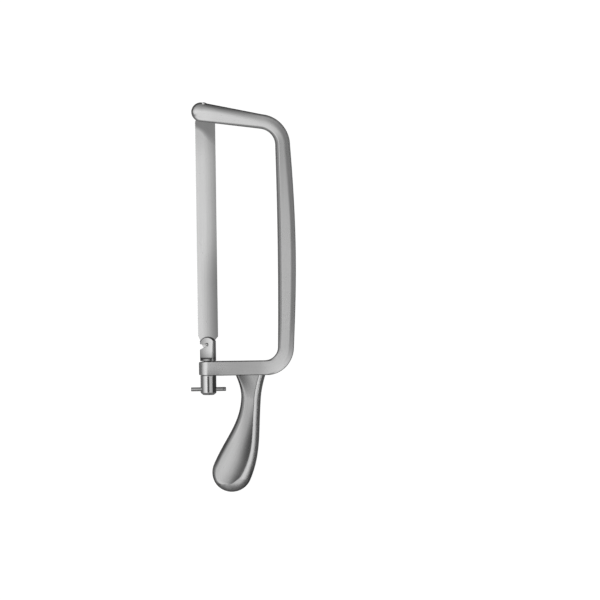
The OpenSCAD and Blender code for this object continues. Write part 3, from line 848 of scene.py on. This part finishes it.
def bladePiece():
    lower, upper = middle("lower_blade_pin"), middle("upper_blade_pin")
    edge, half = extent("saw_blade").x / 2, extent("saw_blade").z / 2
    gullet = -edge + blade["depth"]
    lowFull, highFull = lower.y + blade["lowerShoulder"], upper.y - blade["upperShoulder"]
    count = int((highFull - lowFull) / blade["pitch"])
    first = (lowFull + highFull - count * blade["pitch"]) / 2
    tipR = blade["tipW"] / 2
    turns = np.radians(np.linspace(blade["tipTurn"], 0, blade["tipRows"]))
    lowMiddle, highMiddle = lower.y - blade["lowerTip"] + tipR, upper.y + blade["upperTip"] - tipR

    def tipRow(y, turn, side):
        reach = tipR * math.cos(turn)
        return y + side * tipR * math.sin(turn), lower.x - reach, lower.x + reach

    rows = [tipRow(lowMiddle, turn, -1) for turn in turns] + [(lowFull, gullet, edge)]
    toothed = len(rows)
    rows += [(first + k * blade["pitch"], gullet, edge) for k in range(count + 1)]
    rows += [(highFull, gullet, edge)] + [tipRow(highMiddle, turn, 1) for turn in reversed(turns)]
    bevel = blade["backEdge"]
    size = 6  # points of a row
    last = size - 1
    points, faces = [], []
    for y, left, right in rows:
        points += [(left, y, half), (right - bevel, y, half), (right, y, half - bevel),
                   (right, y, bevel - half), (right - bevel, y, -half), (left, y, -half)]
    for j in range(len(rows) - 1):
        a, b = size * j, size * (j + 1)
        faces += [(a + i, a + i + 1, b + i + 1, b + i) for i in range(last)]
        tooth = j - toothed
        if 0 <= tooth < count:
            y = rows[j][0] + blade["pitch"] / 2
            lean = blade["set"] * (1 if tooth % 2 else -1)
            t = len(points)
            points += [(-edge, y, lean + blade["tipT"] / 2), (-edge, y, lean - blade["tipT"] / 2)]
            faces += [(a, b, t), (b + last, a + last, t + 1), (a + last, a, t, t + 1),
                      (b, b + last, t + 1, t)]
        else:
            faces.append((a + last, a, b, b + last))
    faces.append(tuple(reversed(range(size))))
    end = size * (len(rows) - 1)
    faces.append(tuple(end + i for i in range(size)))
    return newObject("sawBlade", points, faces)


sawBlade = bladePiece()
shadeSmooth(sawBlade, blade["sharp"])
finishPiece(sawBlade, "carriage", "blade_steel", bladeSteel, "saw_blade")
print("blade made", len(sawBlade.data.polygons))


# Carrier: the exact solid with its edges eased, as if stoned after filing
carrier = {"voxel": 0.16, "soften": 0.5, "rounds": 5, "sharp": 60.0}


def easedCopy(name, node):
    obj = bpy.data.objects.new(name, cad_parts[node].data.copy())
    bpy.context.scene.collection.objects.link(obj)
    remesh = obj.modifiers.new("remesh", "REMESH")
    remesh.mode = "VOXEL"
    remesh.voxel_size = carrier["voxel"] * mm
    soften = obj.modifiers.new("soften", "SMOOTH")
    soften.factor = carrier["soften"]
    soften.iterations = carrier["rounds"]
    settle(obj)
    return obj


bladeCarrier = easedCopy("bladeCarrier", "blade_carrier")
shadeSmooth(bladeCarrier, carrier["sharp"])
finishPiece(bladeCarrier, "carriage", "polished_steel", carrierSteel, "blade_carrier")
print("carrier made", len(bladeCarrier.data.polygons))


# Turned pieces: nut, T-bar and the two blade pins
nutShape = {"rim": 0.5, "endDepth": 2.3, "endHeight": 2.0, "endRound": 1.0, "shoulder": 0.8, "boreD": 8.1,
            "bore": 9.4, "holeD": 3.8, "segments": 96}
barShape = {"round": 0.5, "segments": 48}
pinShape = {"dome": 0.5, "flat": 0.6, "rise": 0.1, "endRound": 0.8, "edgeRound": 0.4, "segments": 48}
turnedSharp = 40.0


def nutPiece():
    centre, size = middle("tension_nut"), extent("tension_nut")
    radius, top = size.x / 2, size.y / 2
    bore, floor = nutShape["boreD"] / 2, top - nutShape["bore"]
    corners = [(0, -top), (radius - nutShape["endDepth"], -top), (radius, -top + nutShape["endHeight"]),
               (radius, top), (bore, top)]
    outside = roundPath(corners, [nutShape["endRound"], nutShape["shoulder"], nutShape["rim"]])
    nut = turnedSolid("tensionNut", outside + [(bore, floor), (0, floor)], "y", centre, nutShape["segments"])
    cut(nut, [drill("hole", nutShape["holeD"] / 2, far, "x", middle("t_bar"), barShape["segments"])])
    return nut


def barPiece():
    size = extent("t_bar")
    radius, end = size.y / 2, size.x / 2
    outline = roundPath([(0, -end), (radius, -end), (radius, end), (0, end)], [barShape["round"]] * 2)
    return turnedSolid("tBar", outline, "x", middle("t_bar"), barShape["segments"])


def pinPiece(name, node):
    size = extent(node)
    radius, end = size.x / 2, size.z / 2
    dome, rise, flat = pinShape["dome"], pinShape["rise"], radius * pinShape["flat"]
    outline = roundPath([(0, -end), (flat, -end + rise), (radius, -end + dome), (radius, end - dome),
                         (flat, end - rise), (0, end)],
                        [pinShape[key] for key in ("endRound", "edgeRound", "edgeRound", "endRound")])
    return turnedSolid(name, outline, "z", middle(node), pinShape["segments"])


tensionNut = nutPiece()
shadeSmooth(tensionNut, turnedSharp)
finishPiece(tensionNut, "nut", "polished_steel", nutSteel, "tension_nut")
tBar = barPiece()
shadeSmooth(tBar, turnedSharp)
finishPiece(tBar, "nut", "fitting_steel", fittingSteel, "t_bar")
for name, node, material in (("upperPin", "upper_blade_pin", upperPinLitSteel),
                             ("lowerPin", "lower_blade_pin", fittingSteel)):
    pin = pinPiece(name, node)
    shadeSmooth(pin, turnedSharp)
    finishPiece(pin, "carriage", "fitting_steel", material, node)
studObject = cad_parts["handle_stud"]
studObject.data.materials.clear()
studObject.data.materials.append(fittingSteel)
print("turned pieces made")


# Studio: a floor that the saw lies on, soft lights and the camera. Where the walls fade is given in parts of
# a direction of length 1
studio = {
    "floorSize": 12.0, "floorTone": 0.25, "floorRough": 0.9, "floorGlow": 0.95,
    "wallFacing": (-0.88, -0.47, 0.0), "wallFrom": -0.6, "wallTo": 0.35, "wallWhite": 1.1, "wallDark": 0.09,
    "lowShare": 0.2, "lowFrom": -0.1, "lowTo": 0.92, "frontShare": 0.4, "frontFrom": -0.7, "frontTo": -0.3,
    "backGlow": 0.6, "backLow": 0.1, "backRise": 0.28, "backFull": 0.36, "backNone": 0.66,
    "groundWhite": 0.2, "groundDark": 0.13, "groundTo": -0.04, "skyFrom": 0.06,
}
# Where the saw rests, in its own millimetres
rests = {"bulbBelow": -50.0, "tipAbove": 200.0, "tipLeft": 0.0, "cornerAbove": 195.0, "cornerRight": 55.0}


# Plane through three of the saw's lowest points: the bulb, the tip of the upper arm and its corner
def floorPlane():
    points = np.array([v.co[:] for o in (bowFrame, handle) for v in o.data.vertices])
    places = (points - np.array(origin)) / mm

    def lowest(mask):
        chosen = points[mask]
        return Vector(chosen[np.argmin(chosen[:, 2])])

    across, along = places[:, 0], places[:, 1]
    bulb = lowest(along < rests["bulbBelow"])
    tip = lowest((along > rests["tipAbove"]) & (across < rests["tipLeft"]))
    corner = lowest((along > rests["cornerAbove"]) & (across > rests["cornerRight"]))
    up = (corner - bulb).cross(tip - bulb).normalized()
    depth = min(points @ np.array(up))
    return up, up * depth


# Board that doesn't shine and glows evenly
def boardMaterial(name, tone, rough, glow):
    board = bpy.data.materials.new(name)
    board.use_nodes = True
    entries = board.node_tree.nodes["Principled BSDF"].inputs
    entries["Base Color"].default_value = (tone, tone, tone, 1)
    entries["Roughness"].default_value = rough
    entries["Specular IOR Level"].default_value = 0.0
    entries["Emission Color"].default_value = (1, 1, 1, 1)
    entries["Emission Strength"].default_value = glow
    return board


floorUp, floorPoint = floorPlane()
floorMesh = bpy.data.meshes.new("floor")
reach = studio["floorSize"] / 2
floorMesh.from_pydata([(-reach, -reach, 0), (reach, -reach, 0), (reach, reach, 0), (-reach, reach, 0)], [],
                      [(0, 1, 2, 3)])
floor = bpy.data.objects.new("floor", floorMesh)
bpy.context.scene.collection.objects.link(floor)
floor.location = floorPoint
floor.rotation_mode = "QUATERNION"
floor.rotation_quaternion = floorUp.to_track_quat("Z", "Y")
floor.visible_glossy = False
floorMesh.materials.append(boardMaterial("paper", studio["floorTone"], studio["floorRough"],
                                         studio["floorGlow"]))


# Card that shows only in reflections
def reflectedCard(name, low, high, glow):
    card = boxSolid(name, low, high)
    card.visible_camera = card.visible_diffuse = card.visible_shadow = card.visible_transmission = False
    card.data.materials.append(boardMaterial(name, tone=0, rough=0.5, glow=glow))


# Area light that looks as bright as its level and lights one piece
def softbox(name, shape, place, size, level, piece, target=(0, 0, 0.1)):
    data = bpy.data.lights.new(name, "AREA")
    data.shape = shape
    data.size, data.size_y = size
    data.energy = level * math.pi * size[0] * size[1] * (math.pi / 4 if shape == "ELLIPSE" else 1)
    light = bpy.data.objects.new(name, data)
    bpy.context.scene.collection.objects.link(light)
    light.location = place
    light.rotation_euler = (Vector(target) - Vector(place)).to_track_quat("-Z", "Y").to_euler()
    light.visible_camera = False
    lit = bpy.data.collections.new(name + "Lit")
    lit.objects.link(piece)
    light.light_linking.receiver_collection = lit


def around(azimuth, height, distance=1.3):
    angle = math.radians(azimuth)
    return distance * math.cos(angle), distance * math.sin(angle), height


# Lights in metres and degrees, and cards in the saw's own millimetres
lights = {
    "rim": {"shape": "RECTANGLE", "place": around(-7, 0.46), "size": (1.64, 0.6), "level": 0.72,
            "piece": handle},
    "rimEnd": {"shape": "RECTANGLE", "place": around(-52, 0.46), "size": (0.6, 0.6), "level": 0.3,
               "piece": handle},
    "lowRim": {"shape": "ELLIPSE", "place": around(-82, 0.38), "size": (2.1, 0.76), "level": 0.3,
               "piece": handle},
    "lowRimTop": {"shape": "ELLIPSE", "place": around(-88, 0.6), "size": (1.8, 0.34), "level": 0.3,
                  "piece": handle},
    "headCard": {"shape": "RECTANGLE", "place": around(22, 0.35), "size": (1.6, 0.7), "level": 0.12,
                 "piece": bladeCarrier},
    "nutCard": {"shape": "RECTANGLE", "place": (0.55, -0.05, 0.75), "size": (0.32, 0.8), "level": 0.48,
                "piece": tensionNut, "target": (0, 0, 0)},
}
cards = {
    "nutLine": {"low": (-10.5, -29.0, 47.0), "high": (13.8, -7.2, 47.5), "glow": 0.12},
    "nutFlag": {"low": (13.5, -24.0, -8.0), "high": (13.8, -7.0, 11.5), "glow": 0.05},
}
for name, settings in lights.items():
    softbox(name, **settings)
for name, settings in cards.items():
    reflectedCard(name, **settings)


# Large white walls on the left, which fade towards the ground and to the front, dark ones on the right and
# behind with a low glow, and a grey ground. The camera itself sees plain white
def makeSurroundings():
    world = bpy.data.worlds.new("studio")
    world.use_nodes = True
    tree = world.node_tree
    heading = tree.nodes.new("ShaderNodeTexCoord").outputs["Generated"]
    axes = splitAxes(tree, heading)
    wall = addVector(tree, "DOT_PRODUCT", heading, tuple(Vector(studio["wallFacing"]).normalized()))
    white = addStep(tree, wall, studio["wallFrom"], studio["wallTo"])

    def step(start, end):
        return addStep(tree, axes["Z"], studio[start], studio[end])

    def fade(value, name):
        share = studio[name + "Share"]
        risen = addStep(tree, value, studio[name + "From"], studio[name + "To"])
        return gained(tree, share, risen, 1 - share)

    def whiteOrDark(name):
        return gained(tree, studio[name + "Dark"], white, studio[name + "White"] - studio[name + "Dark"])

    level = both(tree, whiteOrDark("wall"), fade(axes["Z"], "low"))
    level = both(tree, level, fade(axes["Y"], "front"))
    lowBack = both(tree, step("backNone", "backFull"), addMath(tree, "SUBTRACT", 1.0, white))
    lowBack = both(tree, lowBack, step("backLow", "backRise"))
    level = gained(tree, level, lowBack, studio["backGlow"])
    ground = whiteOrDark("ground")
    level = gained(tree, ground, addMath(tree, "SUBTRACT", level, ground), step("groundTo", "skyFrom"))
    surroundings = tree.nodes["Background"]
    surroundings.inputs["Color"].default_value = (1, 1, 1, 1)
    tree.links.new(level, surroundings.inputs["Strength"])
    backdrop = addNode(tree, "ShaderNodeBackground", Color=(1, 1, 1, 1), Strength=1.0)
    seen = tree.nodes.new("ShaderNodeLightPath").outputs["Is Camera Ray"]
    mixed = tree.nodes.new("ShaderNodeMixShader")
    for i, socket in enumerate((seen, surroundings.outputs[0], backdrop.outputs[0])):
        tree.links.new(socket, mixed.inputs[i])
    tree.links.new(mixed.outputs[0], tree.nodes["World Output"].inputs["Surface"])
    return world


bpy.context.scene.world = makeSurroundings()

# Camera straight above, so that a picture 600 pixels wide takes in 540 mm of the saw's middle plane.
# The picture's middle lies to the right of the saw, and the saw leans a little to the left
shot = {"wide": 540.0, "lens": 135.0, "sensor": 36.0, "aimX": 83.43, "aimY": 60.40, "lean": 0.8}
cameraData = bpy.data.cameras.new("camera")
cameraData.lens = shot["lens"]
cameraData.sensor_width = shot["sensor"]
camera = bpy.data.objects.new("camera", cameraData)
bpy.context.scene.collection.objects.link(camera)
height = shot["wide"] * shot["lens"] / shot["sensor"]
camera.location = origin + Vector((shot["aimX"], shot["aimY"], height)) * mm
camera.rotation_euler = (0, 0, -math.radians(shot["lean"]))
bpy.context.scene.camera = camera
bpy.context.scene.view_settings.view_transform = "Standard"
print("studio made")
